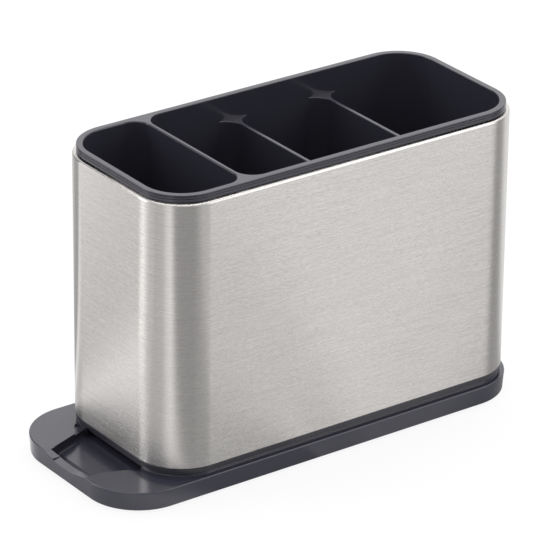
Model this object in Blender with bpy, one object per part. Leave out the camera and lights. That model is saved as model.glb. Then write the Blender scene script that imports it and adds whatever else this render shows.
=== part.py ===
# Cutlery drainer: a drip tray with a pouring spout, a steel sleeve on a base frame that lifts
# off the tray, and a four-pocket caddy that lifts out of the sleeve.
# Metres, +Z up, +X along the long side away from the spout. The origin is on the table, under
# the middle of the tray.
import math

import bmesh
import bpy
from mathutils import Matrix

MM = 0.001

# Holder: the outline that the steel sleeve gives
HOLDER_LENGTH = 215.0 * MM
HOLDER_WIDTH = 98.0 * MM
HOLDER_CORNER_RADIUS = 25.0 * MM

# Steel sleeve
SLEEVE_HEIGHT = 138.2 * MM
SLEEVE_SHEET = 0.6 * MM
SLEEVE_EDGE_RADIUS = 1.2 * MM
SLEEVE_RETURN_FLAT = 1.8 * MM

# Drip tray
SPOUT_APRON_LENGTH = 27.3 * MM
END_SHELF = 2.7 * MM
SIDE_SHELF = 2.0 * MM
TRAY_CORNER_GROWTH = 3.5 * MM
TRAY_HEIGHT = 9.6 * MM
TRAY_FLOOR = 2.2 * MM
TRAY_WALL = 2.2 * MM
TRAY_WALL_DRAFT = 0.6 * MM
TRAY_EDGE_ROUND = 0.6 * MM
TRAY_FOOT_ROUND = 0.4 * MM
LIP_INSET = 1.2 * MM
LIP_WIDTH = 2.0 * MM
LIP_HEIGHT = 1.3 * MM
LIP_ROUND = 0.6 * MM
LIP_FILLET = 0.4 * MM
WELL_FILLET = 2.0 * MM

# Spout channel, pouring lip and notch in the tray
CHANNEL_MOUTH_WIDTH = 50.0 * MM
CHANNEL_END_WIDTH = 33.0 * MM
CHANNEL_FLOOR = 4.0 * MM
CHANNEL_SLOPE_LENGTH = 13.7 * MM
CHANNEL_SILL = 0.4 * MM
CHANNEL_FILLET = 2.5 * MM
GROOVE_WIDTH = 4.4 * MM
GROOVE_DEPTH = 0.9 * MM
GROOVE_RAMP = 0.9 * MM
GROOVE_FILLET = 1.5 * MM
EAR_WIDTH = 6.5 * MM
EAR_LENGTH = 8.0 * MM
EAR_DEPTH = 1.4 * MM
POUR_LIP_WIDTH = 4.2 * MM
NOTCH_WIDTH = 37.0 * MM
NOTCH_DEPTH = 2.0 * MM
BEAK_WIDTH = 19.0 * MM
BEAK_DEPTH = 0.6 * MM

# Feet
FOOT_RADIUS = 6.0 * MM
FOOT_STANDOFF = 1.0 * MM
FOOT_RECESS = 1.0 * MM
FOOT_ROUND = 0.4 * MM
FOOT_FROM_SIDE = 16.0 * MM
FOOT_FROM_HOLDER_END = 16.0 * MM

# Base frame, which carries the sleeve and the caddy
FRAME_FLANGE = 2.7 * MM
FRAME_FLANGE_INSET = 0.4 * MM
FRAME_WALL = 1.6 * MM
FRAME_UPSTAND = 5.1 * MM
FRAME_SKIRT = 3.7 * MM
FRAME_LEDGE = 4.6 * MM
FRAME_LEDGE_THICKNESS = 2.0 * MM
FRAME_LEDGE_RISE = 1.1 * MM
FRAME_BAR_WIDTH = 6.0 * MM
HOOK_LENGTH = 12.0 * MM
HOOK_REACH = 0.8 * MM
HOOK_ROOT = 0.8 * MM
HOOK_HEIGHT = 1.6 * MM
HOOK_SPACING = 62.0 * MM

# Cutlery caddy
RIM_PROUD = 4.1 * MM
RIM_OVERHANG = 1.4 * MM
RIM_ROUND = 0.4 * MM
RIM_FLANGE = 0.8 * MM
RIM_GROOVE = 0.4 * MM
RIM_GROOVE_DEPTH = 0.6 * MM
CADDY_WALL = 2.0 * MM
CADDY_FLOOR = 2.0 * MM
CADDY_FOOT_ROUND = 2.0 * MM
DIVIDER_THICKNESS = 2.0 * MM
DIVIDER_DRAFT = 0.5 * MM
FIRST_POCKET_LENGTH = 41.6 * MM
LOW_DIVIDER_DROP = 12.9 * MM
FIRST_POCKET_CORNER = 8.5 * MM
BAY_CORNER = 10.0 * MM
POCKET_CORNER = 10.0 * MM
POCKET_FILLET = 3.0 * MM
SLOT_LENGTH = 22.0 * MM
SLOT_WIDTH = 4.0 * MM
SLOT_SPACING = 11.0 * MM
SLOT_ROW_SPACING = 34.0 * MM

# Clearances
SEAT_GAP = 0.3 * MM
SLIDE_GAP = 0.3 * MM
SKIRT_GAP = 0.4 * MM
CADDY_FOOT_GAP = 0.4 * MM
RIM_GAP = 0.5 * MM

# How far a cutter runs past what it cuts, and the step between faces that would share a plane
CUT_OVERLAP = 2.0 * MM
FACE_STEP = 0.1 * MM
LEAST_RADIUS = 0.2 * MM

# Facets
CORNER_STEPS = 12
POCKET_STEPS = 8
EDGE_STEPS = 5
ROUND_STEPS = 4
FILLET_STEPS = 3
NOTCH_STEPS = 14
EAR_STEPS = 10
SLOT_STEPS = 4
FOOT_SIDES = 28
LIP_END_SIDES = 16
SMOOTH_ANGLE = math.radians(35)

# Heights, from the table up
TRAY_UNDERSIDE = FOOT_STANDOFF
FOOT_HEIGHT = FOOT_STANDOFF + FOOT_RECESS - SEAT_GAP
APRON_Z = TRAY_UNDERSIDE + TRAY_HEIGHT
WELL_Z = TRAY_UNDERSIDE + TRAY_FLOOR
LIP_TOP_Z = APRON_Z + LIP_HEIGHT
FLANGE_Z = LIP_TOP_Z + SEAT_GAP
FLANGE_TOP_Z = FLANGE_Z + FRAME_FLANGE
SLEEVE_Z = FLANGE_TOP_Z + SEAT_GAP
SLEEVE_TOP_Z = SLEEVE_Z + SLEEVE_HEIGHT
LEDGE_TOP_Z = FLANGE_TOP_Z + FRAME_LEDGE_RISE
CADDY_Z = LEDGE_TOP_Z + SEAT_GAP
RIM_TOP_Z = SLEEVE_TOP_Z + RIM_PROUD
CADDY_HEIGHT = RIM_TOP_Z - CADDY_Z
RIM_LOW = SLEEVE_TOP_Z + RIM_GAP - CADDY_Z

# Insets from the sleeve's outer face
SLEEVE_RETURN = SLEEVE_EDGE_RADIUS + SLEEVE_RETURN_FLAT
UPSTAND_INSET = SLEEVE_RETURN + SLIDE_GAP
LEDGE_INSET = UPSTAND_INSET + FRAME_WALL + FRAME_LEDGE
SKIRT_INSET = LIP_INSET + LIP_WIDTH + SKIRT_GAP
CADDY_INSET = SLEEVE_RETURN + SLIDE_GAP
CADDY_FOOT_INSET = UPSTAND_INSET + FRAME_WALL + CADDY_FOOT_GAP
CADDY_DRAFT = CADDY_FOOT_INSET - CADDY_INSET
RIM_OUTER_INSET = CADDY_INSET - RIM_OVERHANG
RIM_INNER_INSET = CADDY_INSET + CADDY_WALL

# Plan sizes
TRAY_LENGTH = SPOUT_APRON_LENGTH + HOLDER_LENGTH + END_SHELF
TRAY_WIDTH = HOLDER_WIDTH + 2 * SIDE_SHELF
TRAY_CORNER_RADIUS = HOLDER_CORNER_RADIUS + TRAY_CORNER_GROWTH
HOLDER_X = (SPOUT_APRON_LENGTH - END_SHELF) / 2
HOLDER_LEFT = HOLDER_X - HOLDER_LENGTH / 2
TRAY_LEFT = -TRAY_LENGTH / 2
POCKET_WIDTH = HOLDER_WIDTH - 2 * RIM_INNER_INSET

# Finishes: colour, roughness, metallic
TRAY_FINISH = ((0.075, 0.078, 0.088), 0.38, 0.0)
CADDY_FINISH = ((0.060, 0.062, 0.074), 0.35, 0.0)
FRAME_FINISH = ((0.050, 0.052, 0.060), 0.45, 0.0)
STEEL_FINISH = ((0.620, 0.605, 0.580), 0.32, 1.0)
RUBBER_FINISH = ((0.030, 0.030, 0.032), 0.80, 0.0)


class Outline:
    """A rounded rectangle seen from above."""

    def __init__(self, low_x, high_x, width, low_radius, high_radius, steps):
        self.low_x = low_x
        self.high_x = high_x
        self.half_width = width / 2
        self.low_radius = low_radius
        self.high_radius = high_radius
        self.steps = steps

    def loop(self, inset, z):
        """Points of the outline drawn in by inset, counter-clockwise."""
        low_radius = max(self.low_radius - inset, LEAST_RADIUS)
        high_radius = max(self.high_radius - inset, LEAST_RADIUS)
        low_x = self.low_x + inset + low_radius
        high_x = self.high_x - inset - high_radius
        low_y = self.half_width - inset - low_radius
        high_y = self.half_width - inset - high_radius
        corners = (
            (high_x, high_y, high_radius, 0.0),
            (low_x, low_y, low_radius, 0.5),
            (low_x, -low_y, low_radius, 1.0),
            (high_x, -high_y, high_radius, 1.5),
        )
        points = []
        for centre_x, centre_y, radius, start in corners:
            for step in range(self.steps + 1):
                angle = math.pi * (start + 0.5 * step / self.steps)
                x = centre_x + radius * math.cos(angle)
                y = centre_y + radius * math.sin(angle)
                points.append((x, y, z))
        return points


def quarter_round(centre_inset, centre_z, radius, start_degrees, steps):
    """Profile points (inset, z) of a quarter circle."""
    points = []
    for step in range(steps + 1):
        angle = math.radians(start_degrees + 90.0 * step / steps)
        points.append((centre_inset + radius * math.cos(angle), centre_z + radius * math.sin(angle)))
    return points


def skin(bm, loops, ring):
    """Quads between neighbouring loops. A ring also joins the last to the first, else ends are filled."""
    made = [[bm.verts.new(point) for point in points] for points in loops]
    pairs = list(zip(made, made[1:]))
    if ring:
        pairs.append((made[-1], made[0]))
    for first, second in pairs:
        count = len(first)
        for index in range(count):
            after = (index + 1) % count
            bm.faces.new((first[index], first[after], second[after], second[index]))
    if not ring:
        bm.faces.new(made[0])
        bm.faces.new(made[-1])
    bmesh.ops.recalc_face_normals(bm, faces=bm.faces)


def plain_material(name, finish):
    colour, roughness, metallic = finish
    material = bpy.data.materials.new(name)
    material.use_nodes = True
    shader = material.node_tree.nodes["Principled BSDF"]
    shader.inputs["Base Color"].default_value = (*colour, 1.0)
    shader.inputs["Roughness"].default_value = roughness
    shader.inputs["Metallic"].default_value = metallic
    return material


def make_object(name, bm, location, parent, material):
    mesh = bpy.data.meshes.new(name)
    bm.to_mesh(mesh)
    bm.free()
    mesh.materials.append(material)
    mesh.shade_smooth()
    mesh.set_sharp_from_angle(angle=SMOOTH_ANGLE)
    piece = bpy.data.objects.new(name, mesh)
    bpy.context.collection.objects.link(piece)
    piece.parent = parent
    piece.location = location
    return piece


def make_empty(name, location, parent):
    empty = bpy.data.objects.new(name, None)
    bpy.context.collection.objects.link(empty)
    empty.parent = parent
    empty.location = location
    return empty


def make_tool(name, bm, location, parent):
    """A cutter or an added form for a Boolean, which isn't a piece of the object."""
    mesh = bpy.data.meshes.new(name)
    bm.to_mesh(mesh)
    bm.free()
    tool = bpy.data.objects.new(name, mesh)
    bpy.context.collection.objects.link(tool)
    tool.parent = parent
    tool.location = location
    tool.hide_render = True
    tool.display_type = "WIRE"
    return tool


def combine(piece, tool, operation):
    modifier = piece.modifiers.new(tool.name, "BOOLEAN")
    modifier.operation = operation
    modifier.solver = "EXACT"
    modifier.object = tool


def prism(outline_points, low_z, high_z):
    """A straight prism on a plan outline."""
    bm = bmesh.new()
    low = [(x, y, low_z) for x, y in outline_points]
    high = [(x, y, high_z) for x, y in outline_points]
    skin(bm, [low, high], ring=False)
    return bm


def add_block(bm, low, high):
    """Adds a box between two corners."""
    size = [high[axis] - low[axis] for axis in range(3)]
    middle = [(high[axis] + low[axis]) / 2 for axis in range(3)]
    matrix = Matrix.Translation(middle) @ Matrix.Diagonal((*size, 1.0))
    bmesh.ops.create_cube(bm, size=1.0, matrix=matrix)


def holder_outline():
    """The sleeve's outer face, about the holder's own middle."""
    half = HOLDER_LENGTH / 2
    radius = HOLDER_CORNER_RADIUS
    return Outline(-half, half, HOLDER_WIDTH, radius, radius, CORNER_STEPS)


def tray_outline():
    """The tray's upper edge, about the tray's own middle."""
    radius = TRAY_CORNER_RADIUS
    return Outline(TRAY_LEFT, -TRAY_LEFT, TRAY_WIDTH, radius, radius, CORNER_STEPS)


def make_sleeve(parent, material):
    """Rolled sheet steel: one wall all round, with both edges curled in to a flat return."""
    edge = SLEEVE_EDGE_RADIUS
    sheet = SLEEVE_SHEET
    top = SLEEVE_HEIGHT
    outside = [(SLEEVE_RETURN, 0.0)]
    outside += [(2 * edge - d, z) for d, z in quarter_round(edge, edge, edge, -90, EDGE_STEPS)]
    outside += [(2 * edge - d, z) for d, z in quarter_round(edge, top - edge, edge, 0, EDGE_STEPS)]
    outside.append((SLEEVE_RETURN, top))
    inner = edge - sheet
    inside = [(SLEEVE_RETURN, top - sheet)]
    inside += [(2 * edge - d, z) for d, z in quarter_round(edge, top - edge, inner, 0, EDGE_STEPS)][::-1]
    inside += [(2 * edge - d, z) for d, z in quarter_round(edge, edge, inner, -90, EDGE_STEPS)][::-1]
    inside.append((SLEEVE_RETURN, sheet))
    outline = holder_outline()
    bm = bmesh.new()
    skin(bm, [outline.loop(inset, z) for inset, z in outside + inside], ring=True)
    return make_object("steel_sleeve", bm, (0.0, 0.0, SLEEVE_Z), parent, material)


class Space:
    """A pocket, or the bay above the low dividers: its ends and corners in the rim's plane."""

    def __init__(self, low_x, high_x, low_corner, high_corner, low_draft, high_draft):
        self.low_x = low_x
        self.high_x = high_x
        self.low_corner = low_corner
        self.high_corner = high_corner
        self.low_draft = low_draft
        self.high_draft = high_draft

    def loop(self, inset, z):
        """The plan at height z above the caddy's foot, where each wall has leaned in by its draft."""
        depth = (CADDY_HEIGHT - z) / CADDY_HEIGHT
        low_lean = self.low_draft * depth
        high_lean = self.high_draft * depth
        plan = Outline(
            self.low_x + low_lean, self.high_x - high_lean, POCKET_WIDTH - 2 * CADDY_DRAFT * depth,
            self.low_corner - low_lean, self.high_corner - high_lean, POCKET_STEPS)
        return plan.loop(inset, z)


def caddy_spaces():
    """The four pockets from the spout end on, and the bay that the last three share."""
    low = -HOLDER_LENGTH / 2 + RIM_INNER_INSET
    high = HOLDER_LENGTH / 2 - RIM_INNER_INSET
    end_corner = HOLDER_CORNER_RADIUS - RIM_INNER_INSET
    first_high = low + FIRST_POCKET_LENGTH
    bay_low = first_high + DIVIDER_THICKNESS
    share = (high - bay_low - 2 * DIVIDER_THICKNESS) / 3
    second_low = bay_low + share + DIVIDER_THICKNESS
    third_low = second_low + share + DIVIDER_THICKNESS
    pockets = (
        Space(low, first_high, end_corner, FIRST_POCKET_CORNER, CADDY_DRAFT, DIVIDER_DRAFT),
        Space(bay_low, bay_low + share, BAY_CORNER, POCKET_CORNER, DIVIDER_DRAFT, DIVIDER_DRAFT),
        Space(second_low, second_low + share, POCKET_CORNER, POCKET_CORNER, DIVIDER_DRAFT, DIVIDER_DRAFT),
        Space(third_low, high, POCKET_CORNER, end_corner, DIVIDER_DRAFT, CADDY_DRAFT),
    )
    bay = Space(bay_low, high, BAY_CORNER, end_corner, DIVIDER_DRAFT, CADDY_DRAFT)
    return pockets, bay


def pocket_tool(name, space, top_z, trim, parent):
    """A pocket's space: drafted walls, a round edge at the floor, open at the top."""
    fillet = POCKET_FILLET
    loops = []
    for inset, z in quarter_round(fillet, CADDY_FLOOR + fillet, fillet, 180, FILLET_STEPS)[::-1]:
        loops.append(space.loop(inset + trim, z))
    loops.append(space.loop(trim, top_z))
    bm = bmesh.new()
    skin(bm, loops, ring=False)
    return make_tool(name, bm, (0.0, 0.0, CADDY_Z), parent)


def slot_points(centre_x, centre_y):
    """Plan outline of a round-ended slot that runs along Y."""
    radius = SLOT_WIDTH / 2
    half = SLOT_LENGTH / 2 - radius
    points = []
    for end, start in ((1, 0.0), (-1, 1.0)):
        for step in range(SLOT_STEPS + 1):
            angle = math.pi * (start + step / SLOT_STEPS)
            x = centre_x + radius * math.cos(angle)
            y = centre_y + end * half + radius * math.sin(angle)
            points.append((x, y))
    return points


def slots_tool(name, space, parent):
    """Two rows of drain slots through one pocket's floor."""
    edge = CADDY_DRAFT + POCKET_FILLET
    room = space.high_x - space.low_x - 2 * edge - SLOT_WIDTH
    count = 1 + int(room / SLOT_SPACING)
    middle = (space.low_x + space.high_x) / 2
    bm = bmesh.new()
    for number in range(count):
        x = middle + (number - (count - 1) / 2) * SLOT_SPACING
        for side in (-1, 1):
            points = slot_points(x, side * SLOT_ROW_SPACING / 2)
            low = [(px, py, -CUT_OVERLAP) for px, py in points]
            high = [(px, py, CADDY_FLOOR + CUT_OVERLAP) for px, py in points]
            skin(bm, [low, high], ring=False)
    return make_tool(name, bm, (0.0, 0.0, CADDY_Z), parent)


def make_caddy(parent, material):
    """One moulding: a stepped rim, drafted walls, one full divider and two lower ones."""
    foot = CADDY_FOOT_ROUND
    profile = quarter_round(CADDY_FOOT_INSET + foot, foot, foot, 180, FILLET_STEPS)[::-1]
    groove_top = CADDY_HEIGHT - RIM_FLANGE
    groove_low = groove_top - RIM_GROOVE
    profile.append((CADDY_INSET, RIM_LOW))
    profile.append((RIM_OUTER_INSET, RIM_LOW))
    profile.append((RIM_OUTER_INSET, groove_low))
    profile.append((RIM_OUTER_INSET + RIM_GROOVE_DEPTH, groove_low))
    profile.append((RIM_OUTER_INSET + RIM_GROOVE_DEPTH, groove_top))
    profile.append((RIM_OUTER_INSET, groove_top))
    edge = RIM_ROUND
    profile += quarter_round(RIM_OUTER_INSET + edge, CADDY_HEIGHT - edge, edge, 90, ROUND_STEPS)[::-1]
    outline = holder_outline()
    bm = bmesh.new()
    skin(bm, [outline.loop(inset, z) for inset, z in profile], ring=False)
    caddy = make_object("cutlery_caddy", bm, (0.0, 0.0, CADDY_Z), parent, material)

    pockets, bay = caddy_spaces()
    over_rim = CADDY_HEIGHT + CUT_OVERLAP
    low_divider_z = CADDY_HEIGHT - LOW_DIVIDER_DROP
    bm = bmesh.new()
    skin(bm, [bay.loop(0.0, z) for z in (low_divider_z, over_rim)], ring=False)
    combine(caddy, make_tool("tool_bay", bm, (0.0, 0.0, CADDY_Z), parent), "DIFFERENCE")
    for number, space in enumerate(pockets):
        in_bay = number > 0
        top_z = low_divider_z + CUT_OVERLAP if in_bay else over_rim
        trim = FACE_STEP if in_bay else 0.0
        word = str(number + 1)
        combine(caddy, pocket_tool("tool_pocket_" + word, space, top_z, trim, parent), "DIFFERENCE")
        combine(caddy, slots_tool("tool_slots_" + word, space, parent), "DIFFERENCE")
    return caddy


def hook_tool(parent):
    """Snap hooks on the frame's upstand, which catch over the sleeve's lower return."""
    catch_z = SLEEVE_Z + SLEEVE_SHEET + SLIDE_GAP - FLANGE_Z
    root = UPSTAND_INSET + HOOK_ROOT
    section = (
        (UPSTAND_INSET - HOOK_REACH, catch_z),
        (root, catch_z),
        (root, catch_z + HOOK_HEIGHT),
    )
    half_width = HOLDER_WIDTH / 2
    half_length = HOLDER_LENGTH / 2
    offsets = (-HOOK_LENGTH / 2, HOOK_LENGTH / 2)
    bm = bmesh.new()
    for side in (-1, 1):
        for number in (-1, 0, 1):
            ends = []
            for x in (number * HOOK_SPACING + offset for offset in offsets):
                ends.append([(x, side * (half_width - inset), z) for inset, z in section])
            skin(bm, ends, ring=False)
        ends = [[(side * (half_length - inset), y, z) for inset, z in section] for y in offsets]
        skin(bm, ends, ring=False)
    return make_tool("tool_hooks", bm, (0.0, 0.0, FLANGE_Z), parent)


def bar_tool(parent):
    """Cross bars of the frame, one under each of the caddy's dividers."""
    ledge_top = LEDGE_TOP_Z - FLANGE_Z
    pockets, _ = caddy_spaces()
    half_bar = HOLDER_WIDTH / 2 - LEDGE_INSET + FRAME_LEDGE / 2
    bm = bmesh.new()
    for before, after in zip(pockets, pockets[1:]):
        x = (before.high_x + after.low_x) / 2
        low = (x - FRAME_BAR_WIDTH / 2, -half_bar, ledge_top - FRAME_LEDGE_THICKNESS + FACE_STEP)
        high = (x + FRAME_BAR_WIDTH / 2, half_bar, ledge_top - FACE_STEP)
        add_block(bm, low, high)
    return make_tool("tool_bars", bm, (0.0, 0.0, FLANGE_Z), parent)


def make_frame(parent, material):
    """A ring that sits on the tray's lip, with a ledge and cross bars under the caddy."""
    ledge_top = LEDGE_TOP_Z - FLANGE_Z
    ledge_low = ledge_top - FRAME_LEDGE_THICKNESS
    upstand_top = FRAME_FLANGE + FRAME_UPSTAND
    profile = (
        (FRAME_FLANGE_INSET, 0.0),
        (FRAME_FLANGE_INSET, FRAME_FLANGE),
        (UPSTAND_INSET, FRAME_FLANGE),
        (UPSTAND_INSET, upstand_top),
        (UPSTAND_INSET + FRAME_WALL, upstand_top),
        (UPSTAND_INSET + FRAME_WALL, ledge_top),
        (LEDGE_INSET, ledge_top),
        (LEDGE_INSET, ledge_low),
        (SKIRT_INSET + FRAME_WALL, ledge_low),
        (SKIRT_INSET + FRAME_WALL, -FRAME_SKIRT),
        (SKIRT_INSET, -FRAME_SKIRT),
        (SKIRT_INSET, 0.0),
    )
    outline = holder_outline()
    bm = bmesh.new()
    skin(bm, [outline.loop(inset, z) for inset, z in profile], ring=True)
    frame = make_object("base_frame", bm, (0.0, 0.0, FLANGE_Z), parent, material)
    combine(frame, bar_tool(parent), "UNION")
    combine(frame, hook_tool(parent), "UNION")
    return frame


def channel_half_width(x):
    """The channel widens evenly from the pouring lip to the holder."""
    end_x = TRAY_LEFT + POUR_LIP_WIDTH
    share = (x - end_x) / (HOLDER_LEFT - end_x)
    growth = (CHANNEL_MOUTH_WIDTH - CHANNEL_END_WIDTH) / 2
    return CHANNEL_END_WIDTH / 2 + growth * min(share, 1.0)


def channel_tool(parent):
    """The funnel from the well to the pouring lip, with a narrow groove along the lip's foot."""
    end_x = TRAY_LEFT + POUR_LIP_WIDTH
    level_z = TRAY_UNDERSIDE + CHANNEL_FLOOR
    groove_z = level_z - GROOVE_DEPTH
    mouth_x = HOLDER_LEFT + LIP_INSET + LIP_WIDTH
    fillet = GROOVE_FILLET
    floor = quarter_round(end_x + fillet, groove_z + fillet, fillet, 180, ROUND_STEPS)
    floor.append((end_x + GROOVE_WIDTH - GROOVE_RAMP, groove_z))
    floor.append((end_x + GROOVE_WIDTH, level_z))
    floor.append((HOLDER_LEFT - CHANNEL_SLOPE_LENGTH, level_z))
    floor.append((HOLDER_LEFT, WELL_Z + CHANNEL_SILL))
    floor.append((mouth_x + CUT_OVERLAP, WELL_Z + CHANNEL_SILL))
    top_z = LIP_TOP_Z + CUT_OVERLAP
    sections = []
    for x, z in floor:
        half = channel_half_width(x)
        edge = quarter_round(half - CHANNEL_FILLET, z + CHANNEL_FILLET, CHANNEL_FILLET, 270, 2)
        back = [(x, y, edge_z) for y, edge_z in edge]
        front = [(x, -y, edge_z) for y, edge_z in edge[::-1]]
        sections.append([(x, -half, top_z)] + front + back + [(x, half, top_z)])
    bm = bmesh.new()
    skin(bm, sections, ring=False)
    return make_tool("tool_channel", bm, (0.0, 0.0, 0.0), parent)


def ear_tool(name, side, parent):
    """A shallow recess beside the channel's mouth, whose edge swings out from channel to lip."""
    wall_x = HOLDER_LEFT + LIP_INSET - LIP_FILLET - FACE_STEP
    start_x = wall_x - EAR_LENGTH
    start_y = channel_half_width(start_x)
    reach = CHANNEL_MOUTH_WIDTH / 2 + EAR_WIDTH - start_y
    points = [(start_x, side * (start_y - CUT_OVERLAP)), (wall_x, side * (start_y - CUT_OVERLAP))]
    for step in range(EAR_STEPS, -1, -1):
        share = step / EAR_STEPS
        rise = (1 - math.cos(math.pi * share)) / 2
        points.append((start_x + EAR_LENGTH * share, side * (start_y + reach * rise)))
    if side < 0:
        points.reverse()
    bm = prism(points, APRON_Z - EAR_DEPTH, APRON_Z + CUT_OVERLAP)
    return make_tool(name, bm, (0.0, 0.0, 0.0), parent)


def notch_tool(parent):
    """The shallow arc that the water pours over, cut through the end wall's top."""
    low_x = TRAY_LEFT - CUT_OVERLAP
    high_x = TRAY_LEFT + POUR_LIP_WIDTH + CUT_OVERLAP
    half = NOTCH_WIDTH / 2
    radius = (half ** 2 + NOTCH_DEPTH ** 2) / (2 * NOTCH_DEPTH)
    centre_z = APRON_Z - NOTCH_DEPTH + radius
    reach = math.asin((half + CUT_OVERLAP) / radius)
    section = []
    for step in range(NOTCH_STEPS + 1):
        angle = -reach + 2 * reach * step / NOTCH_STEPS
        section.append((radius * math.sin(angle), centre_z - radius * math.cos(angle)))
    top_z = APRON_Z + CUT_OVERLAP
    section += [(section[-1][0], top_z), (section[0][0], top_z)]
    bm = bmesh.new()
    skin(bm, [[(x, y, z) for y, z in section] for x in (low_x, high_x)], ring=False)
    return make_tool("tool_notch", bm, (0.0, 0.0, 0.0), parent)


def lip_end_tool(name, side, parent):
    """The round end of the lip beside the channel's mouth."""
    radius = LIP_WIDTH / 2 - FACE_STEP
    rings = [(radius, WELL_Z + CHANNEL_SILL - FACE_STEP)]
    rings += quarter_round(0.0, LIP_TOP_Z - radius, radius, 0, ROUND_STEPS)[:-1]
    loops = []
    for ring_radius, z in rings:
        loop = []
        for number in range(LIP_END_SIDES):
            angle = 2 * math.pi * (number + 0.5) / LIP_END_SIDES
            loop.append((ring_radius * math.cos(angle), ring_radius * math.sin(angle), z))
        loops.append(loop)
    bm = bmesh.new()
    skin(bm, loops, ring=False)
    place = (HOLDER_LEFT + LIP_INSET + LIP_WIDTH / 2, side * CHANNEL_MOUTH_WIDTH / 2, 0.0)
    return make_tool(name, bm, place, parent)


def core_tool(name, side, parent):
    """The hollow under the apron beside the channel, which keeps the moulding's wall even."""
    outline = tray_outline()
    inset = TRAY_WALL + TRAY_WALL_DRAFT
    high_x = HOLDER_LEFT + LIP_INSET + LIP_WIDTH - TRAY_WALL
    near_y = CHANNEL_MOUTH_WIDTH / 2 + TRAY_WALL
    corner = []
    for x, y, _ in outline.loop(inset, 0.0):
        if x < high_x and side * y > near_y:
            corner.append((x, y))
    far_y = TRAY_WIDTH / 2 - inset
    end_x = TRAY_LEFT + inset
    first = (high_x, side * far_y) if side > 0 else (end_x, side * near_y)
    last = (end_x, side * near_y) if side > 0 else (high_x, side * far_y)
    inner = (high_x, side * near_y)
    points = [first] + corner + [last, inner]
    bm = prism(points, TRAY_UNDERSIDE - CUT_OVERLAP, APRON_Z - EAR_DEPTH - TRAY_WALL)
    return make_tool(name, bm, (0.0, 0.0, 0.0), parent)


def foot_places():
    """Names and plan positions of the four feet."""
    side_y = HOLDER_WIDTH / 2 - FOOT_FROM_SIDE
    spout_x = HOLDER_LEFT + FOOT_FROM_HOLDER_END
    far_x = HOLDER_LEFT + HOLDER_LENGTH - FOOT_FROM_HOLDER_END
    return (
        ("foot_spout_front", spout_x, -side_y),
        ("foot_spout_back", spout_x, side_y),
        ("foot_end_front", far_x, -side_y),
        ("foot_end_back", far_x, side_y),
    )


def disc(radius, low_z, high_z, sides):
    bm = bmesh.new()
    matrix = Matrix.Translation((0.0, 0.0, (low_z + high_z) / 2))
    bmesh.ops.create_cone(
        bm, cap_ends=True, segments=sides, radius1=radius, radius2=radius,
        depth=high_z - low_z, matrix=matrix)
    return bm


def make_foot(name, x, y, parent, material):
    """A soft disc with a round lower edge, held in a recess under the tray."""
    bm = disc(FOOT_RADIUS, 0.0, FOOT_HEIGHT, FOOT_SIDES)
    rim = [edge for edge in bm.edges if all(vert.co.z < FOOT_HEIGHT / 2 for vert in edge.verts)]
    bmesh.ops.bevel(bm, geom=rim, offset=FOOT_ROUND, segments=2, profile=0.5, affect="EDGES")
    return make_object(name, bm, (x, y, 0.0), parent, material)


def make_tray(parent, material):
    """A moulded tray: outer wall, flat apron, lip under the holder, well, channel and notch."""
    outer = tray_outline()
    inner = Outline(
        HOLDER_LEFT, HOLDER_LEFT + HOLDER_LENGTH, HOLDER_WIDTH,
        HOLDER_CORNER_RADIUS, HOLDER_CORNER_RADIUS, CORNER_STEPS)
    loops = [outer.loop(TRAY_WALL_DRAFT + TRAY_FOOT_ROUND, TRAY_UNDERSIDE)]
    loops.append(outer.loop(TRAY_WALL_DRAFT, TRAY_UNDERSIDE + TRAY_FOOT_ROUND))
    edge = TRAY_EDGE_ROUND
    for inset, z in quarter_round(edge, APRON_Z - edge, edge, 90, ROUND_STEPS)[::-1]:
        loops.append(outer.loop(inset, z))
    lip_in = LIP_INSET + LIP_WIDTH
    loops.append(inner.loop(LIP_INSET - LIP_FILLET, APRON_Z))
    loops.append(inner.loop(LIP_INSET, APRON_Z + LIP_FILLET))
    crest_z = LIP_TOP_Z - LIP_ROUND
    for inset, z in quarter_round(LIP_INSET + LIP_ROUND, crest_z, LIP_ROUND, 90, FILLET_STEPS)[::-1]:
        loops.append(inner.loop(inset, z))
    for inset, z in quarter_round(lip_in - LIP_ROUND, crest_z, LIP_ROUND, 0, FILLET_STEPS)[::-1]:
        loops.append(inner.loop(inset, z))
    fillet = WELL_FILLET
    for inset, z in quarter_round(lip_in + fillet, WELL_Z + fillet, fillet, 180, FILLET_STEPS):
        loops.append(inner.loop(inset, z))
    bm = bmesh.new()
    skin(bm, loops, ring=False)
    tray = make_object("drip_tray", bm, (0.0, 0.0, 0.0), parent, material)

    combine(tray, channel_tool(parent), "DIFFERENCE")
    for side, word in ((-1, "front"), (1, "back")):
        combine(tray, ear_tool("tool_ear_" + word, side, parent), "DIFFERENCE")
        combine(tray, core_tool("tool_core_" + word, side, parent), "DIFFERENCE")
        combine(tray, lip_end_tool("tool_lip_end_" + word, side, parent), "UNION")
    combine(tray, notch_tool(parent), "DIFFERENCE")
    beak = bmesh.new()
    add_block(
        beak,
        (TRAY_LEFT - CUT_OVERLAP, -BEAK_WIDTH / 2, APRON_Z - NOTCH_DEPTH - BEAK_DEPTH),
        (TRAY_LEFT + POUR_LIP_WIDTH + CUT_OVERLAP, BEAK_WIDTH / 2, APRON_Z + CUT_OVERLAP))
    combine(tray, make_tool("tool_beak", beak, (0.0, 0.0, 0.0), parent), "DIFFERENCE")
    for name, x, y in foot_places():
        seat_z = TRAY_UNDERSIDE + FOOT_RECESS
        recess = disc(FOOT_RADIUS + SLIDE_GAP, TRAY_UNDERSIDE - CUT_OVERLAP, seat_z, FOOT_SIDES)
        combine(tray, make_tool("tool_" + name, recess, (x, y, 0.0), parent), "DIFFERENCE")
    return tray


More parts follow.
